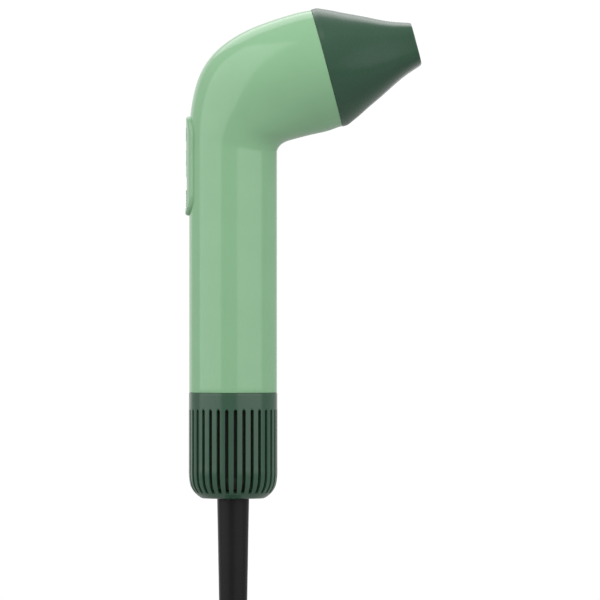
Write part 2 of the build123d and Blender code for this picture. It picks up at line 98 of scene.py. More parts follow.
def recalc(ob):
    bm = bmesh.new()
    bm.from_mesh(ob.data)
    bmesh.ops.remove_doubles(bm, verts=bm.verts, dist=1e-7)
    bmesh.ops.recalc_face_normals(bm, faces=bm.faces)
    bm.to_mesh(ob.data)
    bm.free()
    ob.data.update()


def apply_mods(ob):
    deps = bpy.context.evaluated_depsgraph_get()
    me = bpy.data.meshes.new_from_object(ob.evaluated_get(deps))
    ob.modifiers.clear()
    old = ob.data
    ob.data = me
    bpy.data.meshes.remove(old)


def sharp_by_angle(ob, deg=32):
    me = ob.data
    bm = bmesh.new()
    bm.from_mesh(me)
    lim = math.radians(deg)
    for e in bm.edges:
        if len(e.link_faces) == 2:
            e.smooth = e.calc_face_angle(0) < lim
        else:
            e.smooth = True
    for f in bm.faces:
        f.smooth = True
    bm.to_mesh(me)
    bm.free()


def spline_fit(xs, ys):
    """Natural cubic spline through the points, as a function."""
    xs = np.array(xs, float)
    ys = np.array(ys, float)
    n = len(xs)
    h = np.diff(xs)
    M = np.zeros((n, n))
    r = np.zeros(n)
    M[0, 0] = M[-1, -1] = 1
    for i in range(1, n - 1):
        M[i, i - 1] = h[i - 1]
        M[i, i] = 2 * (h[i - 1] + h[i])
        M[i, i + 1] = h[i]
        r[i] = 6 * ((ys[i + 1] - ys[i]) / h[i] - (ys[i] - ys[i - 1]) / h[i - 1])
    m = np.linalg.solve(M, r)

    def f(x):
        x = np.atleast_1d(np.array(x, float))
        i = np.clip(np.searchsorted(xs, x) - 1, 0, n - 2)
        d = x - xs[i]
        a = ys[i]
        b = (ys[i + 1] - ys[i]) / h[i] - h[i] * (2 * m[i] + m[i + 1]) / 6
        return a + b * d + m[i] / 2 * d**2 + (m[i + 1] - m[i]) / (6 * h[i]) * d**3

    return f


# ---------------------------------------------------------------- materials
def new_mat(name):
    m = bpy.data.materials.new(name)
    m.use_nodes = True
    nt = m.node_tree
    nt.nodes.clear()
    out = nt.nodes.new("ShaderNodeOutputMaterial")
    bsdf = nt.nodes.new("ShaderNodeBsdfPrincipled")
    nt.links.new(bsdf.outputs[0], out.inputs[0])
    return m, nt, bsdf


def lin(c):
    return tuple((x / 12.92 if x <= 0.04045 else ((x + 0.055) / 1.055) ** 2.4) for x in c)


def rgb(r, g, b):
    return (*lin((r / 255, g / 255, b / 255)), 1.0)


def coords(nt):
    return nt.nodes.new("ShaderNodeTexCoord").outputs["Object"]


def noise(nt, vec, scale, detail=3.0, rough=0.5):
    n = nt.nodes.new("ShaderNodeTexNoise")
    n.inputs["Scale"].default_value = scale
    n.inputs["Detail"].default_value = detail
    n.inputs["Roughness"].default_value = rough
    nt.links.new(vec, n.inputs["Vector"])
    return n.outputs["Fac"]


def ramp(nt, fac, lo, hi, p0=0.35, p1=0.65):
    r = nt.nodes.new("ShaderNodeValToRGB")
    r.color_ramp.elements[0].position = p0
    r.color_ramp.elements[0].color = lo
    r.color_ramp.elements[1].position = p1
    r.color_ramp.elements[1].color = hi
    nt.links.new(fac, r.inputs["Fac"])
    return r.outputs["Color"]


def maprange(nt, fac, lo, hi):
    r = nt.nodes.new("ShaderNodeMapRange")
    r.inputs["To Min"].default_value = lo
    r.inputs["To Max"].default_value = hi
    nt.links.new(fac, r.inputs["Value"])
    return r.outputs["Result"]


def bump(nt, bsdf, height, strength, dist):
    b = nt.nodes.new("ShaderNodeBump")
    b.inputs["Strength"].default_value = strength
    b.inputs["Distance"].default_value = dist
    nt.links.new(height, b.inputs["Height"])
    nt.links.new(b.outputs["Normal"], bsdf.inputs["Normal"])
    return b


def plastic(name, colour, vary=0.03, rough=0.28, rough_vary=0.05, grain=1400.0, grain_h=0.00001, ior=1.46, spec=0.5, coat=0.0, coat_rough=0.05):
    m, nt, b = new_mat(name)
    vec = coords(nt)
    lo = tuple(c * (1 - vary) for c in colour[:3]) + (1,)
    hi = tuple(min(1, c * (1 + vary)) for c in colour[:3]) + (1,)
    nt.links.new(ramp(nt, noise(nt, vec, 60.0, 2.0), lo, hi), b.inputs["Base Color"])
    nt.links.new(maprange(nt, noise(nt, vec, 220.0, 3.0), rough - rough_vary, rough + rough_vary), b.inputs["Roughness"])
    if grain:
        bump(nt, b, noise(nt, vec, grain, 2.0), 0.35, grain_h)
    b.inputs["IOR"].default_value = ior
    b.inputs["Specular IOR Level"].default_value = spec
    b.inputs["Coat Weight"].default_value = coat
    b.inputs["Coat Roughness"].default_value = coat_rough
    return m


def metal(name, colour, rough=0.3, stretch=(1, 1, 40), grain=400.0):
    m, nt, b = new_mat(name)
    vec = coords(nt)
    mp = nt.nodes.new("ShaderNodeMapping")
    mp.inputs["Scale"].default_value = stretch
    nt.links.new(vec, mp.inputs["Vector"])
    n = noise(nt, mp.outputs[0], grain, 2.0)
    lo = tuple(c * 0.9 for c in colour[:3]) + (1,)
    nt.links.new(ramp(nt, n, lo, colour), b.inputs["Base Color"])
    nt.links.new(maprange(nt, n, rough * 0.7, rough * 1.3), b.inputs["Roughness"])
    bump(nt, b, n, 0.2, 0.00001)
    b.inputs["Metallic"].default_value = 1.0
    return m


M = {}
M["shell"] = plastic("shell_green", rgb(134, 179, 138), 0.012, 0.13, 0.02, 900.0, 0.000004)
M["nozzle"] = plastic("dark_green", rgb(42, 76, 56), 0.02, 0.27, 0.03, 900.0, 0.000005)
M["cage"] = plastic("cage_green", rgb(50, 82, 63), 0.02, 0.2, 0.03, 900.0, 0.000005)
M["pad"] = plastic("pad_green", rgb(132, 174, 136), 0.015, 0.16, 0.03, 1500.0, 0.000006)
M["button"] = plastic("button_green", rgb(114, 157, 119), 0.02, 0.38, 0.05, 1600.0, 0.00002)
M["rubber"] = plastic("black_rubber", rgb(9, 9, 10), 0.08, 0.36, 0.06, 1100.0, 0.00002, spec=0.3)
M["cord"] = plastic("cord_black", rgb(13, 13, 14), 0.08, 0.42, 0.06, 1300.0, 0.00002)
M["black_plastic"] = plastic("black_plastic", rgb(34, 35, 36), 0.06, 0.45, 0.06, 1200.0, 0.00003)
M["white_plastic"] = plastic("white_plastic", rgb(226, 226, 220), 0.02, 0.4, 0.05, 1200.0, 0.00002)
M["steel"] = metal("brushed_steel", rgb(190, 190, 192), 0.28)
M["pin_metal"] = metal("pin_nickel", rgb(214, 212, 204), 0.18, (1, 1, 0.2), 900.0)
M["magnet"] = metal("nickel", rgb(205, 205, 208), 0.15)
M["copper"] = metal("enamelled_copper", rgb(190, 106, 60), 0.3, (1, 1, 1), 1500.0)
M["nichrome"] = metal("resistance_wire", rgb(120, 112, 106), 0.4)
M["aluminium"] = metal("milled_aluminium", rgb(206, 207, 210), 0.25)


def mica():
    m, nt, b = new_mat("mica")
    vec = coords(nt)
    v = nt.nodes.new("ShaderNodeTexVoronoi")
    v.inputs["Scale"].default_value = 350.0
    nt.links.new(vec, v.inputs["Vector"])
    nt.links.new(ramp(nt, v.outputs["Distance"], rgb(150, 128, 92), rgb(206, 188, 150), 0.1, 0.8), b.inputs["Base Color"])
    nt.links.new(maprange(nt, noise(nt, vec, 500.0), 0.15, 0.5), b.inputs["Roughness"])
    bump(nt, b, v.outputs["Distance"], 0.4, 0.0001)
    return m


def board():
    m, nt, b = new_mat("circuit_board")
    vec = coords(nt)
    br = nt.nodes.new("ShaderNodeTexBrick")
    br.inputs["Scale"].default_value = 260.0
    br.inputs["Color1"].default_value = rgb(18, 78, 42)
    br.inputs["Color2"].default_value = rgb(14, 66, 36)
    br.inputs["Mortar"].default_value = rgb(60, 122, 70)
    br.inputs["Mortar Size"].default_value = 0.02
    nt.links.new(vec, br.inputs["Vector"])
    nt.links.new(br.outputs["Color"], b.inputs["Base Color"])
    nt.links.new(maprange(nt, noise(nt, vec, 300.0), 0.25, 0.4), b.inputs["Roughness"])
    bump(nt, b, br.outputs["Fac"], 0.3, 0.00005)
    return m


def woven(name, c0, c1, scale, rough=0.6, metallic=0.0):
    m, nt, b = new_mat(name)
    vec = coords(nt)
    w1 = nt.nodes.new("ShaderNodeTexWave")
    w1.wave_type = "BANDS"
    w1.bands_direction = "Z"
    w1.inputs["Scale"].default_value = scale
    w2 = nt.nodes.new("ShaderNodeTexWave")
    w2.wave_type = "BANDS"
    w2.bands_direction = "DIAGONAL"
    w2.inputs["Scale"].default_value = scale
    nt.links.new(vec, w1.inputs["Vector"])
    nt.links.new(vec, w2.inputs["Vector"])
    mul = nt.nodes.new("ShaderNodeMath")
    mul.operation = "MULTIPLY"
    nt.links.new(w1.outputs["Fac"], mul.inputs[0])
    nt.links.new(w2.outputs["Fac"], mul.inputs[1])
    nt.links.new(ramp(nt, mul.outputs[0], c0, c1, 0.1, 0.7), b.inputs["Base Color"])
    nt.links.new(maprange(nt, mul.outputs[0], rough, rough - 0.15), b.inputs["Roughness"])
    bump(nt, b, mul.outputs[0], 0.6, 0.0002)
    b.inputs["Metallic"].default_value = metallic
    return m


def light_pipe():
    m, nt, b = new_mat("light_pipe")
    vec = coords(nt)
    nt.links.new(ramp(nt, noise(nt, vec, 900.0), rgb(214, 232, 214), rgb(240, 248, 240)), b.inputs["Base Color"])
    nt.links.new(maprange(nt, noise(nt, vec, 700.0), 0.15, 0.3), b.inputs["Roughness"])
    b.inputs["Transmission Weight"].default_value = 0.3
    return m


M["mica"] = mica()
M["board"] = board()
M["mesh"] = woven("filter_weave", rgb(3, 3, 3), rgb(12, 12, 12), 900.0)
M["strap"] = woven("hook_strap", rgb(16, 16, 17), rgb(40, 40, 42), 700.0, 0.85)
M["light"] = light_pipe()
M["lead_red"] = plastic("lead_red", rgb(150, 34, 26), 0.05, 0.4, 0.05, 1500.0, 0.00002)

NODE_MAT = {
    "indicator_lights": "light", "control_board": "board", "slide_switch": "black_plastic", "tact_switches": "black_plastic",
    "outlet_ring": "black_plastic", "outlet_screws": "steel", "outlet_magnets": "magnet", "outlet_grille": "black_plastic",
    "nozzle_collar": "steel", "heater_frame": "mica", "heater_element": "nichrome", "heater_sleeve": "mica",
    "thermostat": "steel", "thermal_fuse": "aluminium", "ion_module": "black_plastic", "motor_duct": "white_plastic",
    "motor_tail_cone": "white_plastic", "stator_core": "steel", "stator_windings": "copper", "motor_bearings": "steel",
    "motor_board": "board", "damper_lower": "rubber", "damper_upper": "rubber", "motor_shaft": "steel",
    "rotor_magnet": "magnet", "impeller": "aluminium", "main_board": "board", "main_capacitor": "black_plastic",
    "heat_sink": "aluminium", "mains_leads": "lead_red", "heater_leads": "lead_red", "base_chassis": "black_plastic",
    "base_screws": "steel", "base_magnets": "magnet", "cord_clamp": "black_plastic", "clamp_screws": "steel",
    "cord_sheath_end": "cord", "cage_ring": "steel", "filter_frame": "black_plastic", "filter_mesh": "mesh",
}


def set_mat(ob, mat):
    ob.data.materials.clear()
    ob.data.materials.append(mat)


for node, key in NODE_MAT.items():
    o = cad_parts[node]
    if o.data.materials:
        for i in range(len(o.data.materials)):
            o.data.materials[i] = M[key]
    else:
        o.data.materials.append(M[key])


# ---------------------------------------------------------------- cord first
def lead_points():
    pts = [
        (0.0, 0.0, GUARD_END),
        (0.0, 0.0, GUARD_END - 10.0),
        (0.8, -4.6, GUARD_END - 22.0),
        (1.8, -9.6, -188.0),
        (2.6, -10.4, -206.0),
        (3.3, -9.8, -228.0),
    ]
    return pts


RUN = [(3.75, 0.0), (5.2, -8.5), (12.6, -17.5), (20.5, -27.0)]
ARC = [(21.9, -38.0), (17.8, -51.0), (7.0, -59.3), (-7.0, -59.3), (-17.8, -51.0), (-21.9, -38.0)]
HALF = RUN + ARC + [(-x, z) for x, z in RUN[:0:-1]]
LOOP = HALF + [(-x, -z) for x, z in HALF]
route = lead_points()
n_loop = len(LOOP)
for k in range(5):
    for i, (x, z) in enumerate(LOOP):
        jitter = 0.25 * math.sin(2.3 * k + 0.7 * i)
        route.append((x + (0.4 * jitter if abs(z) > 20 else 0), HANK_Y - 18 + 7.2 * (k + i / n_loop), HANK_Z + z + (jitter if abs(z) > 20 else 0)))
route += [
    (3.75, 28.0, -251.0), (3.6, 29.0, -266.0), (2.8, 30.4, -286.0), (2.2, 30.4, -304.0), (2.0, 29.2, -314.0),
    (PLUG_X, PLUG_Y, PLUG_TOP - 1.5),
]
cu = bpy.data.curves.new("power_cord", "CURVE")
cu.dimensions = "3D"
sp = cu.splines.new("NURBS")
sp.points.add(len(route) - 1)
for p, co in zip(sp.points, route):
    p.co = (co[0] * MM, co[1] * MM, co[2] * MM, 1.0)
sp.order_u = 3
sp.use_endpoint_u = True
sp.resolution_u = 8
cu.bevel_depth = CORD_R * MM
cu.bevel_resolution = 6
cu.use_fill_caps = True
cord = bpy.data.objects.new("power_cord", cu)
scene.collection.objects.link(cord)
cu.materials.append(M["cord"])


# ---------------------------------------------------------------- body shells
f_out = spline_fit(
    [-6, 0, 5, 10, 15, 20, 25, 30, 35, 40, 45, 50, 55, 60, 65, 70, 75],
    [76.9, 76.65, 76.9, 77.6, 78.4, 79.3, 80.15, 80.55, 80.2, 79.15, 77.65, 75.95, 74.25, 72.8, 71.7, 70.95, 70.3],
)
f_in = spline_fit(
    [0, 2.5, 5, 8, 12.25, 18.7, 25, 31, 40, 49, 60, 75],
    [34.35, 33.85, 32.95, 31.1, 27.2, 22.4, 19.2, 16.95, 14.75, 13.5, 12.8, 12.5],
)
f_w = spline_fit([0, 7, 14, 22, 31, 42, 54, 64, 75], [21.15, 21.75, 23.0, 24.6, 26.1, 27.5, 28.5, 28.9, 28.9])


def body_rows():
    """Each row: centre, in-plane axis, in-plane radius, half width, all mm."""
    rows = []
    zs = [HANDLE_Z0, HANDLE_Z0 + 0.04, HANDLE_Z0 + 0.11, HANDLE_Z0 + 0.25]
    zs += list(np.arange(HANDLE_Z0 + 2.5, 72.0, 2.5)) + [72.6]
    for i, z in enumerate(zs):
        cut = (0.16, 0.07, 0.02, 0.0)[i] if i < 4 else 0.0
        rows.append((Vector((0, 0, z)), Vector((-1, 0, 0)), HANDLE_R - cut, HANDLE_R - cut))
    ths = list(np.arange(0.0, 71.01, 1.0)) + [75.0]
    for t in ths:
        a, b, w = float(f_in(t)[0]), float(f_out(t)[0]), float(f_w(t)[0])
        if t < 6:
            # the handle's plain cylinder carries on to the corner
            w = HANDLE_R + (w - HANDLE_R) * (t / 6)
        r = math.radians(t)
        ray = Vector((-math.cos(r), 0, math.sin(r)))
        mid = (a + b) / 2
        c = Vector((PIVOT[0], 0, PIVOT[1])) + ray * mid
        rows.append((c, ray, (b - a) / 2, w))
    # round the edge at the mouth: last rows pulled in along the outlet axis
    c, ray, ra, rb = rows.pop()
    for back, cut in ((0.45, 0.0), (0.0, 0.01), (-0.06, 0.04), (-0.1, 0.08), (-0.12, 0.12)):
        rows.append((c - A * back, ray, ra - cut, rb - cut))
    return rows


def shell_half(name, sgn):
    rows = body_rows()
    seam = [0.0, 0.004, 0.009, 0.016]
    phis = seam + list(np.linspace(0.03, math.pi - 0.03, 92)) + [math.pi - s for s in seam[::-1]]
    drop = {0: 0.28, 1: 0.12, 2: 0.03}
    verts = []
    n = len(phis)
    for c, ray, ra, rb in rows:
        for j, ph in enumerate(phis):
            k = min(j, n - 1 - j)
            cut = drop.get(k, 0.0)
            v = c + ray * ((ra - cut) * math.cos(ph)) + SIDE * (sgn * (rb - cut) * math.sin(ph))
            verts.append(v * MM)
    ob = mesh_obj(name, verts, grid_faces(len(rows), n))
    bm = bmesh.new()
    bm.from_mesh(ob.data)
    bm.faces.ensure_lookup_table()
    bm.normal_update()
    # outward normals
    mid = bm.faces[len(bm.faces) // 3]
    ctr = rows[(len(bm.faces) // 3) // (n - 1)][0] * MM
    if mid.normal.dot(mid.calc_center_median() - ctr) < 0:
        bmesh.ops.reverse_faces(bm, faces=bm.faces)
    bm.to_mesh(ob.data)
    bm.free()
    sol = ob.modifiers.new("wall", "SOLIDIFY")
    sol.thickness = 1.8 * MM
    sol.offset = -1.0
    sol.use_even_offset = False
    apply_mods(ob)
    set_mat(ob, M["shell"])
    sharp_by_angle(ob, 60)
    return ob


shell_left = shell_half("shell_left", 1)
shell_right = shell_half("shell_right", -1)


# ---------------------------------------------------------------- nozzle
PX = 0.48
u_px = [6, 13.4, 20.8, 28, 35.3, 42.7, 50.1, 57.3, 64.6, 71.9, 79.4, 87.1, 92.2]
v_px = [60.6, 57.2, 53.8, 50.1, 46.6, 43.1, 39.5, 35.8, 32.1, 28.7, 25.8, 23.2, 21.5]
f_v = spline_fit([u * PX for u in u_px], [v * PX for v in v_px])
TIP = 44.3


def smooth01(x):
    x = min(max(x, 0.0), 1.0)
    return x * x * (3 - 2 * x)


def nozzle_section(u):
    t = min(max((u - 0.8) / (TIP - 0.8), 0), 1)
    line = float(f_v(u)[0]) if u > u_px[0] * PX else 29.1 + 0.45 * (u_px[0] * PX - u)
    # the band rolls over into the taper
    k = 0.22
    hv = -k * math.log(math.exp(-29.1 / k) + math.exp(-line / k)) if abs(line - 29.1) < 3 else min(29.1, line)
    hw = 29.1 - 2.0 * smooth01(t)
    n = 2.0 + 2.1 * t**1.3
    return min(hv, 29.1), hw, n


def oval_pts(u, hv, hw, n, count=176):
    out = []
    base = Vector((JOINT[0], 0, JOINT[1])) + A * u
    for i in range(count):
        a = 2 * math.pi * i / count
        c, s = math.cos(a), math.sin(a)
        x = hw * math.copysign(abs(c) ** (2 / n), c)
        y = hv * math.copysign(abs(s) ** (2 / n), s)
        out.append((base + SIDE * x + UP * y) * MM)
    return out


def make_nozzle():
    loops = []
    for u, cut in ((0.22, 0.07), (0.24, 0.03), (0.29, 0.0)):
        loops.append((u, 29.1 - cut, 29.1 - cut, 2.0))
    for u in np.linspace(0.6, 3.9, 16):
        hv, hw, n = nozzle_section(float(u))
        loops.append((float(u), hv, hw, n))
    for u in np.linspace(4.0, TIP - 0.7, 56):
        hv, hw, n = nozzle_section(float(u))
        loops.append((float(u), hv, hw, n))
    hv, hw, n = nozzle_section(TIP)
    for du, cut in ((0.3, 0.01), (0.12, 0.06), (0.04, 0.14), (0.0, 0.28)):
        loops.append((TIP - du, hv - cut, hw - cut, n))
    for du, cut in ((0.0, 1.34), (0.06, 1.52), (0.2, 1.63), (0.45, 1.7), (0.9, 1.74)):
        loops.append((TIP - du, hv - cut, hw - cut, n))
    for u in np.linspace(TIP - 2.0, 4.6, 30):
        hv, hw, n = nozzle_section(float(u))
        loops.append((float(u), hv - 1.95, hw - 1.8, n))
    loops += [(3.3, 26.9, 26.9, 2.0), (3.3, 26.0, 26.0, 2.0), (3.3, 25.4, 25.4, 2.0), (3.2, 25.3, 25.3, 2.0), (1.25, 25.3, 25.3, 2.0), (1.15, 25.4, 25.4, 2.0), (1.15, 26.55, 26.55, 2.0), (0.95, 26.65, 26.65, 2.0), (0.32, 26.65, 26.65, 2.0), (0.22, 26.75, 26.75, 2.0)]
    verts = []
    for u, hv, hw, n in loops:
        verts += oval_pts(u, hv, hw, n)
    ob = mesh_obj("nozzle", verts, grid_faces(len(loops), 176, True, True))
    recalc(ob)
    sharp_by_angle(ob, 50)
    set_mat(ob, M["nozzle"])
    return ob


nozzle = make_nozzle()


# ---------------------------------------------------------------- intake cage
CAGE_R, CAGE_TOP, CAGE_BOTTOM = 21.25, -42.63, -93.3
SLOTS, SLOT_W = 32, 1.72
SLOT_TOP, SLOT_BOT_S = -50.4, None


def cage_profile():
    """(radius, height) points down the wall, round the corner and along the floor, evenly spaced where it bends."""
    ctrl_r = [21.25, 21.25, 21.05, 20.25, 19.2, 17.55, 15.3]
    ctrl_z = [-78.0, -81.5, -84.2, -87.6, -89.5, -91.4, -93.05]
    s = np.r_[0, np.cumsum(np.hypot(np.diff(ctrl_r), np.diff(ctrl_z)))]
    fr, fz = spline_fit(s, ctrl_r), spline_fit(s, ctrl_z)
    pts = []
    z = CAGE_TOP
    heads = [(21.25 - 0.16, CAGE_TOP), (21.25 - 0.05, CAGE_TOP - 0.05), (21.25, CAGE_TOP - 0.18)]
    pts += heads
    for z in (-44.0, -46.0, -48.0, -49.4):
        pts.append((21.25, z))
    body = [(21.25, z) for z in np.linspace(SLOT_TOP, -78.0, 15)]
    corner = [(float(fr(q)[0]), float(fz(q)[0])) for q in np.linspace(s[0], s[-1], 26)[1:]]
    tail = [(14.6, -93.26), (13.6, -93.3), (11.5, -93.3), (9.4, -93.3), (8.6, -93.3), (8.4, -93.2), (8.3, -93.0)]
    return pts, body, corner, tail


def make_cage():
    heads, body, corner, tail = cage_profile()
    rows = heads + body + corner + tail
    first = len(heads)
    # the slots end just above the floor
    last = first + len(body) + len(corner) - 1
    while rows[last][1] < -90.9:
        last -= 1
    pitch = 2 * math.pi / SLOTS
    half = SLOT_W / 2 / CAGE_R
    # columns in one pitch: rib, slot edge, slot
    fr = [-half, -half * 0.5, 0.0, half * 0.5, half]
    ribs = list(np.linspace(half, pitch - half, 7))[1:-1]
    cols = []
    for k in range(SLOTS):
        a0 = k * pitch + math.radians(3.4)
        cols += [(a0 + d, "s", i) for i, d in enumerate(fr)]
        cols += [(a0 + d, "r", 0) for d in ribs]
    nc = len(cols)
    # profile rows as (r, z); rows at the round ends get their own shape
    verts = []
    lift = [0.0, 0.66, 0.86, 0.66, 0.0]
    for i, (r, z) in enumerate(rows):
        for a, kind, ci in cols:
            rr, zz = r, z
            if i == first and kind == "s":
                zz = z - SLOT_W / 2 + lift[ci] * 1.0
            if i == last and kind == "s":
                q = lift[ci] * 0.75
                # follow the profile downwards a little for the round end
                r2, z2 = rows[last + 1]
                L = math.hypot(r2 - r, z2 - z)
                f = min(q / L, 0.95)
                rr, zz = r + (r2 - r) * f, z + (z2 - z) * f
            # keep the slot's width the same as the radius falls
            aa = a
            if kind == "s" and r < CAGE_R - 0.01 and first <= i <= last:
                k0 = round((a - math.radians(3.4)) / pitch)
                mid = k0 * pitch + math.radians(3.4)
                aa = mid + (a - mid) * CAGE_R / r
            verts.append(Vector((rr * math.cos(aa), rr * math.sin(aa), zz)) * MM)
    faces = []
    for i in range(len(rows) - 1):
        for j in range(nc):
            j2 = (j + 1) % nc
            open_ = cols[j][1] == "s" and cols[j2][1] == "s" and first <= i < last
            if not open_:
                faces.append((i * nc + j, i * nc + j2, (i + 1) * nc + j2, (i + 1) * nc + j))
    ob = mesh_obj("intake_cage_shell", verts, faces)
    bm = bmesh.new()
    bm.from_mesh(ob.data)
    bm.faces.ensure_lookup_table()
    bm.normal_update()
    f0 = bm.faces[nc * 2 + 3] if len(bm.faces) > nc * 2 + 3 else bm.faces[0]
    c = f0.calc_center_median()
    if f0.normal.dot(Vector((c.x, c.y, 0))) < 0:
        bmesh.ops.reverse_faces(bm, faces=bm.faces)
    loose = [v for v in bm.verts if not v.link_faces]
    bmesh.ops.delete(bm, geom=loose, context="VERTS")
    bm.to_mesh(ob.data)
    bm.free()
    sol = ob.modifiers.new("wall", "SOLIDIFY")
    sol.thickness = 1.6 * MM
    sol.offset = -1.0
    bev = ob.modifiers.new("edge", "BEVEL")
    bev.width = 0.22 * MM
    bev.segments = 3
    bev.limit_method = "ANGLE"
    bev.angle_limit = math.radians(50)
    apply_mods(ob)
    sharp_by_angle(ob, 75)
    set_mat(ob, M["cage"])
    return ob


cage = make_cage()


# ---------------------------------------------------------------- control pad
PAD_R, PAD_HALF_W, PAD_Z0, PAD_Z1 = 22.65, 10.3, 42.4, 90.0
SLIDER_Z, BUTTON_Z, BUTTON_R = 50.5, (70.0, 81.2), 3.9


def rrect_dist(y, z, hy, hz, r):
    dy, dz = abs(y) - (hy - r), abs(z) - (hz - r)
    return math.hypot(max(dy, 0), max(dz, 0)) + min(max(dy, dz), 0) - r


def pad_height(y, z):
    """Depth of grooves in the pad's face, mm below its cylinder."""
    d = 0.0
    for bz in BUTTON_Z:
        q = math.hypot(y, z - bz)
        d = max(d, 0.75 * (1 - smooth01((q - 4.02) / 0.28)))
    for ly in (-3.0, 0.0, 3.0):
        q = math.hypot(y - ly, z - 63.4)
        d = max(d, 0.18 * (1 - smooth01((q - 0.78) / 0.2)))
    q = rrect_dist(y, z - (SLIDER_Z + 3.0), 4.85, 7.3, 1.6)
    d = max(d, 0.3 * (1 - smooth01((q + 0.02) / 0.25)))
    return d


def make_pad():
    zc, hl = (PAD_Z0 + PAD_Z1) / 2, (PAD_Z1 - PAD_Z0) / 2 - PAD_HALF_W
    N = 360
    outline = []
    per = 4 * hl + 2 * math.pi * PAD_HALF_W
    for i in range(N):
        s = per * i / N
        if s < hl:
            m, dr = (0.0, s), (1.0, 0.0)
        elif s < hl + math.pi * PAD_HALF_W:
            a = (s - hl) / PAD_HALF_W
            m, dr = (0.0, hl), (math.cos(a), math.sin(a))
        elif s < 3 * hl + math.pi * PAD_HALF_W:
            m, dr = (0.0, hl - (s - hl - math.pi * PAD_HALF_W)), (-1.0, 0.0)
        elif s < 3 * hl + 2 * math.pi * PAD_HALF_W:
            a = math.pi + (s - 3 * hl - math.pi * PAD_HALF_W) / PAD_HALF_W
            m, dr = (0.0, -hl), (math.cos(a), math.sin(a))
        else:
            m, dr = (0.0, -hl + (s - 3 * hl - 2 * math.pi * PAD_HALF_W)), (1.0, 0.0)
        outline.append((m, dr))
    verts = []
    rows = 0

    def add(inset, drop_fn):
        nonlocal rows
        for m, dr in outline:
            rr = PAD_HALF_W - inset
            y, z = m[0] + dr[0] * rr, m[1] + dr[1] * rr
            R = drop_fn(y, z + zc)
            x = -math.sqrt(max(R * R - y * y, 1.0))
            verts.append(Vector((x, y, z + zc)) * MM)
        rows += 1

    # the low end stands a little further out, as a lip under the thumb
    def lip(z):
        return 0.36 * (1 - smooth01((z - 44.2) / 5.0))

    add(0.35, lambda y, z: HANDLE_R - 0.6)
    add(0.0, lambda y, z: HANDLE_R - 0.5)
    add(0.0, lambda y, z: HANDLE_R + 0.1)
    edge = 1.35
    for a in np.linspace(0, 90, 11):
        ra = math.radians(a)
        add(edge * (1 - math.cos(ra)), lambda y, z, ra=ra: PAD_R + lip(z) - edge * (1 - math.sin(ra)))
    for inset in list(np.linspace(edge, PAD_HALF_W, 44))[1:]:
        add(inset, lambda y, z: PAD_R + lip(z) - pad_height(y, z))
    faces = grid_faces(rows, N, True)
    ob = mesh_obj("pad", verts, faces)
    bm = bmesh.new()
    bm.from_mesh(ob.data)
    bmesh.ops.remove_doubles(bm, verts=bm.verts, dist=2e-6)
    edges = [e for e in bm.edges if len(e.link_faces) == 1]
    bmesh.ops.holes_fill(bm, edges=edges, sides=0)
    bmesh.ops.recalc_face_normals(bm, faces=bm.faces)
    bm.to_mesh(ob.data)
    bm.free()
    sharp_by_angle(ob, 60)
    set_mat(ob, M["pad"])
    return ob


pad = make_pad()


def face_cap(name, shape, r_in, r_out, edge, dish, mat):
    """Button cap: outline loops on a cylinder about the handle's axis. shape(inset) gives (y, z) points."""
    verts = []
    rows = []
    for inset, R in (
        [(0.0, r_in)]
        + [(edge * (1 - math.cos(math.radians(a))), r_out - edge * (1 - math.sin(math.radians(a)))) for a in np.linspace(0, 90, 7)]
    ):
        rows.append((inset, R))
    for f in np.linspace(0.025, 1.0, 40):
        rows.append((edge + f * 50, None))
    n = len(shape(0.0))
    for inset, R in rows:
        if R is not None:
            pts = shape(inset)
            for y, z in pts:
                verts.append(Vector((-math.sqrt(R * R - y * y), y, z)) * MM)
        else:
            f = (inset - edge) / 50
            base = shape(edge)
            cy = sum(p[0] for p in base) / n
            cz = sum(p[1] for p in base) / n
            for y0, z0 in base:
                y, z = y0 + (cy - y0) * f, z0 + (cz - z0) * f
                R2 = r_out - dish(y, z)
                verts.append(Vector((-math.sqrt(R2 * R2 - y * y), y, z)) * MM)
    ob = mesh_obj(name, verts, grid_faces(len(rows), n, True))
    bm = bmesh.new()
    bm.from_mesh(ob.data)
    bmesh.ops.remove_doubles(bm, verts=bm.verts, dist=1e-6)
    edges = [e for e in bm.edges if len(e.link_faces) == 1]
    bmesh.ops.holes_fill(bm, edges=edges, sides=0)
    bmesh.ops.recalc_face_normals(bm, faces=bm.faces)
    bm.to_mesh(ob.data)
    bm.free()
    sharp_by_angle(ob, 60)
    set_mat(ob, mat)
    return ob


def round_shape(bz, r):
    def f(inset):
        return [((r - inset) * math.cos(2 * math.pi * i / 72), bz + (r - inset) * math.sin(2 * math.pi * i / 72)) for i in range(72)]

    return f


def rrect_shape(zc, hy, hz, r):
    def f(inset):
        out = []
        rr = max(r - inset, 0.05)
        corners = ((hy - r, hz - r, 0), (-(hy - r), hz - r, 90), (-(hy - r), -(hz - r), 180), (hy - r, -(hz - r), 270))
        for q, (cy, cz, a0) in enumerate(corners):
            for k in range(9):
                a = math.radians(a0 + 90 * k / 8)
                out.append((cy + rr * math.cos(a), zc + cz + rr * math.sin(a)))
            # points along the straight side that follows
            y0, z0 = out[-1]
            cy2, cz2, a2 = corners[(q + 1) % 4]
            y1, z1 = cy2 + rr * math.cos(math.radians(a2)), zc + cz2 + rr * math.sin(math.radians(a2))
            for k in range(1, 26):
                out.append((y0 + (y1 - y0) * k / 26, z0 + (z1 - z0) * k / 26))
        return out

    return f


def dish_round(bz):
    return lambda y, z: 0.30 * (1 - smooth01(math.hypot(y, z - bz) / 3.4))


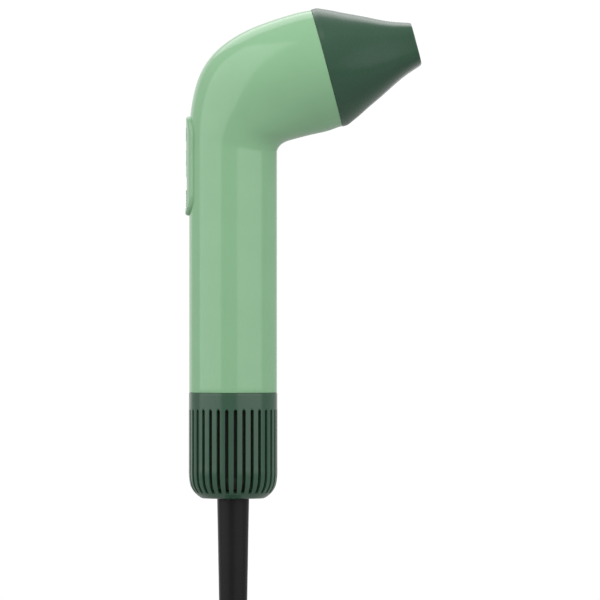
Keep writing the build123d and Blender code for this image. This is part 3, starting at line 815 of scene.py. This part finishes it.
speed_cap = face_cap("speed_cap", round_shape(BUTTON_Z[0], BUTTON_R), 20.6, 22.68, 0.45, dish_round(BUTTON_Z[0]), M["button"])
heat_cap = face_cap(
    "heat_cap", round_shape(BUTTON_Z[1], BUTTON_R), 20.6, 22.68, 0.45,
    lambda y, z: 0.22 * (0.5 + 0.5 * math.cos(math.hypot(y, z - BUTTON_Z[1]) * 4.2)) * (1 - smooth01((math.hypot(y, z - BUTTON_Z[1]) - 2.2) / 0.6)),
    M["button"],
)
slider_cap = face_cap(
    "slider_cap", rrect_shape(SLIDER_Z, 4.5, 4.0, 1.3), 22.38, 22.68, 0.22,
    lambda y, z: 0.28 * (0.5 + 0.5 * math.cos((z - SLIDER_Z) * 2 * math.pi / 1.5)) * (1 - smooth01((abs(z - SLIDER_Z) - 2.6) / 0.5)) * (1 - smooth01((abs(y) - 3.1) / 0.5)),
    M["button"],
)


# ---------------------------------------------------------------- revolved and lofted pieces
def revolve_obj(name, prof, mat, cx=0.0, cy=0.0, seg=96, closed_ring=False, squash_y=None, sharp=40):
    verts = []
    for r, z in prof:
        for i in range(seg):
            a = 2 * math.pi * i / seg
            x, y = r * math.cos(a), r * math.sin(a)
            if squash_y:
                y = max(-squash_y(z), min(squash_y(z), y))
            verts.append(Vector((cx + x, cy + y, z)) * MM)
    ob = mesh_obj(name, verts, grid_faces(len(prof), seg, True, closed_ring))
    bm = bmesh.new()
    bm.from_mesh(ob.data)
    bmesh.ops.remove_doubles(bm, verts=bm.verts, dist=1e-7)
    if not closed_ring:
        edges = [e for e in bm.edges if len(e.link_faces) == 1]
        if edges:
            bmesh.ops.holes_fill(bm, edges=edges, sides=0)
    bmesh.ops.recalc_face_normals(bm, faces=bm.faces)
    bm.to_mesh(ob.data)
    bm.free()
    sharp_by_angle(ob, sharp)
    set_mat(ob, mat)
    return ob


g_z = [-93.3, -101.5, -109.5, -117.5, -125.0, -132.5, -140.5, -147.5]
g_r = [7.69, 7.52, 7.36, 7.22, 7.10, 6.95, 6.82, 6.68]
f_g = spline_fit([-z for z in g_z], g_r)
prof = [(0.0, -83.5), (9.4, -83.5), (9.8, -83.9), (9.8, -85.4), (9.4, -85.9), (7.69, -85.9)]
prof += [(7.69, z) for z in (-88.0, -91.0, -93.3)]
prof += [(float(f_g(-z)[0]), z) for z in np.linspace(-95.0, -148.2, 34)]
prof += [(6.6, -149.2), (6.4, -150.2), (6.05, -151.0), (5.5, -151.6), (4.9, -151.95), (4.2, GUARD_END), (3.75, GUARD_END), (3.62, -151.8), (3.56, -151.0), (3.55, -149.0)]
guard = revolve_obj("guard", prof, M["rubber"], seg=96)

# strap round the hank's waist
def make_tie():
    hx, y0, y1, t, w = WAIST_X + CORD_R + 0.7, HANK_Y - 22.3, HANK_Y + 22.3, 1.25, 6.2
    yc, hy = (y0 + y1) / 2, (y1 - y0) / 2
    r = 3.4
    loop = []
    for cx, cy, a0 in ((hx - r, hy - r, 0), (-(hx - r), hy - r, 90), (-(hx - r), -(hy - r), 180), (hx - r, -(hy - r), 270)):
        for k in range(9):
            a = math.radians(a0 + 90 * k / 8)
            loop.append((cx + r * math.cos(a), cy + r * math.sin(a), math.cos(a), math.sin(a)))
    # extra points on the long sides
    dense = []
    for i in range(len(loop)):
        a, b = loop[i], loop[(i + 1) % len(loop)]
        d = math.hypot(b[0] - a[0], b[1] - a[1])
        n = max(1, int(d / 1.5))
        for k in range(n):
            f = k / n
            dense.append(tuple(a[q] + (b[q] - a[q]) * f for q in range(4)))
    n = len(dense)
    verts = []
    ring_pts = [(0.0, -w), (0.0, -w + 0.4), (0.0, w - 0.4), (0.0, w), (t * 0.5, w + 0.1), (t, w - 0.15), (t, w - 0.8), (t * 1.06, 0), (t, -w + 0.8), (t, -w + 0.15), (t * 0.5, -w - 0.1)]
    for i, (x, y, nx, ny) in enumerate(dense):
        L = math.hypot(nx, ny) or 1
        wob = 0.12 * math.sin(i * 0.31) + 0.08 * math.sin(i * 0.83 + 1)
        for dn, dz in ring_pts:
            verts.append(Vector((x + nx / L * dn, yc + y + ny / L * dn, HANK_Z + dz + wob)) * MM)
    ob = mesh_obj("strap", verts, grid_faces(n, len(ring_pts), True, True))
    recalc(ob)
    # the free end of the strap lies on its outside
    vt = []
    prof_t = [(-w + 0.3, 0.0), (-w, 0.35), (-w, 0.75), (-w + 0.4, 1.1), (w - 0.4, 1.1), (w, 0.75), (w, 0.35), (w - 0.3, 0.0)]
    steps = 26
    for i in range(steps):
        f = i / (steps - 1)
        y = y0 + 5.0 + 17.0 * f
        end = smooth01((f - 0.86) / 0.14)
        for dz, dn in prof_t:
            vt.append(Vector((-(hx + t) - dn * (1 - 0.25 * end) - 0.02, y, HANK_Z + dz * (1 - 0.35 * end**3))) * MM)
    tab = mesh_obj("strap_tab", vt, grid_faces(steps, len(prof_t), True))
    bm = bmesh.new()
    bm.from_mesh(tab.data)
    edges = [e for e in bm.edges if len(e.link_faces) == 1]
    bmesh.ops.holes_fill(bm, edges=edges, sides=0)
    bmesh.ops.recalc_face_normals(bm, faces=bm.faces)
    bm.to_mesh(tab.data)
    bm.free()
    for o in (ob, tab):
        sharp_by_angle(o, 55)
        set_mat(o, M["strap"])
    return ob, tab


strap, strap_tab = make_tie()


def make_plug():
    # height below the top, half width along X, half depth along Y, squareness
    prof = [
        (0.0, 4.0, 4.0, 2.0), (0.1, 4.4, 4.4, 2.0), (0.5, 4.8, 4.8, 2.0), (1.3, 5.0, 5.0, 2.0),
    ]
    # ribbed neck
    for i in range(24):
        z = 1.6 + 8.4 * i / 23
        dip = 0.35 * (1 if (i % 4) in (1, 2) else 0)
        prof.append((z, 5.1 + 0.05 * i - dip, 5.1 + 0.05 * i - dip, 2.0))
    body = [(10.4, 6.6, 6.5, 2.0), (12.0, 8.3, 7.8, 2.05), (14.5, 11.0, 9.6, 2.15), (17.5, 13.6, 11.2, 2.3), (20.5, 15.6, 12.4, 2.4), (23.5, 16.9, 13.0, 2.5), (26.5, 17.45, 13.15, 2.55), (29.5, 17.55, 13.15, 2.55), (30.8, 17.5, 13.1, 2.55), (31.5, 17.2, 12.85, 2.55), (31.88, 16.8, 12.5, 2.55), (32.0, 16.2, 12.0, 2.55), (32.0, 12.0, 8.8, 2.4), (32.0, 6.0, 4.4, 2.2), (32.0, 0.01, 0.01, 2.0)]
    prof += body
    seg = 120
    verts = []
    for d, hx, hy, n in prof:
        for i in range(seg):
            a = 2 * math.pi * i / seg
            c, s = math.cos(a), math.sin(a)
            x = hx * math.copysign(abs(c) ** (2 / n), c)
            y = hy * math.copysign(abs(s) ** (2 / n), s)
            # no grip ribs are cut across the broad faces: the offset g stays zero
            g = 0.0
            if 14.0 < d < 27.0 and abs(c) < 0.45:
                pass
            verts.append(Vector((PLUG_X + x, PLUG_Y + y - g, PLUG_TOP - d)) * MM)
    ob = mesh_obj("plug", verts, grid_faces(len(prof), seg, True))
    bm = bmesh.new()
    bm.from_mesh(ob.data)
    bmesh.ops.remove_doubles(bm, verts=bm.verts, dist=5e-6)
    edges = [e for e in bm.edges if len(e.link_faces) == 1]
    if edges:
        bmesh.ops.holes_fill(bm, edges=edges, sides=0)
    bmesh.ops.recalc_face_normals(bm, faces=bm.faces)
    bm.to_mesh(ob.data)
    bm.free()
    sharp_by_angle(ob, 50)
    set_mat(ob, M["rubber"])
    return ob


plug = make_plug()
face_z = PLUG_TOP - 32.0
pins = []
for k, s in enumerate((1, -1)):
    x = PLUG_X + s * 9.5
    prof = [(0.0, face_z), (2.4, face_z), (2.4, face_z - 9.9), (2.25, face_z - 10.1), (2.25, face_z - 10.3), (2.4, face_z - 10.5), (2.4, face_z - 17.0), (2.3, face_z - 17.6), (2.0, face_z - 18.3), (1.5, face_z - 18.8), (0.8, face_z - 19.0), (0.0, face_z - 19.0)]
    pins.append(revolve_obj(f"pin_{'ab'[k]}", prof, M["pin_metal"], cx=x, cy=PLUG_Y, seg=48))

# ---------------------------------------------------------------- riding
for o in (shell_left, shell_right, pad, guard, cord, strap, strap_tab, plug, *pins):
    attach(o, "body")
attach(nozzle, "nozzle")
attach(cage, "cage")
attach(slider_cap, "slider")
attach(speed_cap, "speed")
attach(heat_cap, "heat")

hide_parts("housing_left")
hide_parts("housing_right")
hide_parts("nozzle_shell")
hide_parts("intake_cage")
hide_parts("control_pad")
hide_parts("power_slider")
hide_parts("speed_button")
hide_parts("heat_button")
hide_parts("cord_guard")
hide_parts("cord_lead_in", "cord_hank", "cord_tail")
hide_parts("cord_tie")
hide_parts("plug_body")
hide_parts("plug_pins")

# ---------------------------------------------------------------- stage and light
FLOOR_Z = -0.395
floor_v = []
seg = 96
rings = [0.0001, 0.2, 0.45, 0.8, 1.3, 2.0, 3.0]
for r in rings:
    for i in range(seg):
        a = 2 * math.pi * i / seg
        floor_v.append((r * math.cos(a), r * math.sin(a), FLOOR_Z))
floor = mesh_obj("floor", floor_v, grid_faces(len(rings), seg, True))
recalc(floor)
fm, fnt, fb = new_mat("floor_pale")
fvec = coords(fnt)
fnt.links.new(ramp(fnt, noise(fnt, fvec, 6.0), rgb(177, 177, 177), rgb(178, 178, 178)), fb.inputs["Base Color"])
fb.inputs["Roughness"].default_value = 0.75
set_mat(floor, fm)

AMBIENT = 0.55
world = bpy.data.worlds.new("studio")
scene.world = world
world.use_nodes = True
wn = world.node_tree
wn.nodes.clear()
wout = wn.nodes.new("ShaderNodeOutputWorld")
wbg = wn.nodes.new("ShaderNodeBackground")
wtc = wn.nodes.new("ShaderNodeTexCoord")
wsep = wn.nodes.new("ShaderNodeSeparateXYZ")
wn.links.new(wtc.outputs["Generated"], wsep.inputs[0])
mr = wn.nodes.new("ShaderNodeMapRange")
mr.inputs["From Min"].default_value = -1.0
mr.inputs["From Max"].default_value = 1.0
wn.links.new(wsep.outputs["Z"], mr.inputs["Value"])
wr = wn.nodes.new("ShaderNodeValToRGB")
stops = ((0.0, 0.2), (0.40, 0.22), (0.485, AMBIENT), (0.62, AMBIENT), (1.0, 0.8))
while len(wr.color_ramp.elements) < len(stops):
    wr.color_ramp.elements.new(0.5)
for e, (p, v) in zip(wr.color_ramp.elements, stops):
    e.position = p
    e.color = (v, v, v, 1)
wn.links.new(mr.outputs["Result"], wr.inputs["Fac"])
# the lit backdrop stands behind the object, so the sky is white that way
lean = Vector((-0.18, 0.97, 0.08)).normalized()
dot = wn.nodes.new("ShaderNodeVectorMath")
dot.operation = "DOT_PRODUCT"
wn.links.new(wtc.outputs["Generated"], dot.inputs[0])
dot.inputs[1].default_value = lean
mb = wn.nodes.new("ShaderNodeMapRange")
mb.inputs["From Min"].default_value = 0.80
mb.inputs["From Max"].default_value = 0.86
wn.links.new(dot.outputs["Value"], mb.inputs["Value"])
wbg2 = wn.nodes.new("ShaderNodeBackground")
wbg2.inputs["Color"].default_value = (1.02, 1.02, 1.02, 1)
wm = wn.nodes.new("ShaderNodeMixShader")
wn.links.new(mb.outputs["Result"], wm.inputs[0])
wn.links.new(wbg.outputs[0], wm.inputs[1])
wn.links.new(wbg2.outputs[0], wm.inputs[2])
wn.links.new(wr.outputs["Color"], wbg.inputs["Color"])
wn.links.new(wm.outputs[0], wout.inputs[0])


def area(name, loc, target, w, h, radiance):
    ld = bpy.data.lights.new(name, "AREA")
    ld.shape = "RECTANGLE"
    ld.size = w
    ld.size_y = h
    ld.energy = radiance * math.pi * w * h
    lo = bpy.data.objects.new(name, ld)
    scene.collection.objects.link(lo)
    lo.location = loc
    d = Vector(target) - Vector(loc)
    lo.rotation_euler = d.to_track_quat("-Z", "Y").to_euler()
    return lo


def strip(name, az0, az1, dist, h, radiance, z=0.1):
    """A tall softbox that fills azimuths az0..az1 seen from the handle; 0 is the camera's side, + is towards +X."""
    mid, half = math.radians((az0 + az1) / 2), math.radians((az1 - az0) / 2)
    loc = (dist * math.sin(mid), -dist * math.cos(mid), z)
    area(name, loc, (0, 0, z), 2 * dist * math.tan(half), h, radiance)


area("rim_panel", (-0.15, 1.5, 1.6), (0.03, 0, 0.12), 2.2, 1.2, 1.25)
strip("soft_left", -97.0, -31.0, 1.5, 3.2, 1.32, 1.46)
strip("soft_right", 11.0, 80.0, 1.5, 3.2, 1.22, 1.46)

scene.view_settings.view_transform = "Standard"
scene.view_settings.look = "None"
scene.view_settings.exposure = 0.0
scene.view_settings.gamma = 1.0
